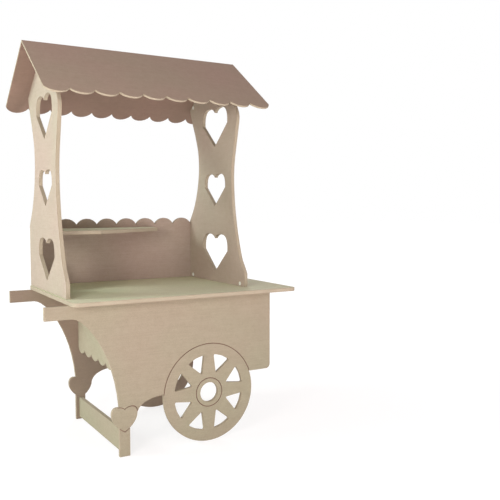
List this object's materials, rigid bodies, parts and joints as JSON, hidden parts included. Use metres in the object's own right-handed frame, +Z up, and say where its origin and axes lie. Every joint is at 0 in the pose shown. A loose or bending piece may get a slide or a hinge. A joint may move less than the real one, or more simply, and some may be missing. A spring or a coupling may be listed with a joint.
{
  "type": "candy buffet cart",
  "caption": "Flat-pack wooden display cart: tabletop on cut-out side panels with false spoked wheels, heart-pierced posts, shelf and scalloped gable roof.",
  "frame": {"origin": "on the floor under the middle of the overall box", "axes": "+Z up, +X along the cart away from its handles, -Y towards the serving side"},
  "size_m": [1.258, 0.8582, 1.9159],
  "materials": {
    "mdf_board": "raw matt fibreboard",
    "cam_plastic": "satin off-white",
    "bolt_steel": "zinc plated",
    "dowel_wood": "raw beech"
  },
  "bodies": {
    "root": {"front_side_panel": "mdf_board", "back_side_panel": "mdf_board", "left_end_apron": "mdf_board", "right_end_apron": "mdf_board", "leg_stretcher": "mdf_board", "tabletop": "mdf_board", "left_post": "mdf_board", "right_post": "mdf_board", "back_panel": "mdf_board", "shelf": "mdf_board", "roof_front": "mdf_board", "roof_back": "mdf_board", "left_post_foot_front_cam": "cam_plastic", "left_post_foot_back_cam": "cam_plastic", "left_post_gable_front_cam": "cam_plastic", "left_post_gable_back_cam": "cam_plastic", "right_post_foot_front_cam": "cam_plastic", "right_post_foot_back_cam": "cam_plastic", "right_post_gable_front_cam": "cam_plastic", "right_post_gable_back_cam": "cam_plastic", "front_side_panel_top_left_cam": "cam_plastic", "front_side_panel_top_right_cam": "cam_plastic", "back_side_panel_top_left_cam": "cam_plastic", "back_side_panel_top_right_cam": "cam_plastic", "left_end_apron_front_cam": "cam_plastic", "left_end_apron_back_cam": "cam_plastic", "right_end_apron_front_cam": "cam_plastic", "right_end_apron_back_cam": "cam_plastic", "left_post_foot_front_bolt": "bolt_steel", "left_post_foot_back_bolt": "bolt_steel", "left_post_gable_front_bolt": "bolt_steel", "left_post_gable_back_bolt": "bolt_steel", "right_post_foot_front_bolt": "bolt_steel", "right_post_foot_back_bolt": "bolt_steel", "right_post_gable_front_bolt": "bolt_steel", "right_post_gable_back_bolt": "bolt_steel", "front_side_panel_top_left_bolt": "bolt_steel", "front_side_panel_top_right_bolt": "bolt_steel", "back_side_panel_top_left_bolt": "bolt_steel", "back_side_panel_top_right_bolt": "bolt_steel", "left_end_apron_front_bolt": "bolt_steel", "left_end_apron_back_bolt": "bolt_steel", "right_end_apron_front_bolt": "bolt_steel", "right_end_apron_back_bolt": "bolt_steel", "leg_stretcher_front_lower_dowel": "dowel_wood", "leg_stretcher_front_upper_dowel": "dowel_wood", "leg_stretcher_back_lower_dowel": "dowel_wood", "leg_stretcher_back_upper_dowel": "dowel_wood", "back_panel_left_post_lower_dowel": "dowel_wood", "back_panel_left_post_upper_dowel": "dowel_wood", "back_panel_right_post_lower_dowel": "dowel_wood", "back_panel_right_post_upper_dowel": "dowel_wood", "shelf_post_front_dowel": "dowel_wood", "shelf_post_back_dowel": "dowel_wood", "shelf_back_left_dowel": "dowel_wood", "shelf_back_right_dowel": "dowel_wood"}
  },
  "joints": []
}
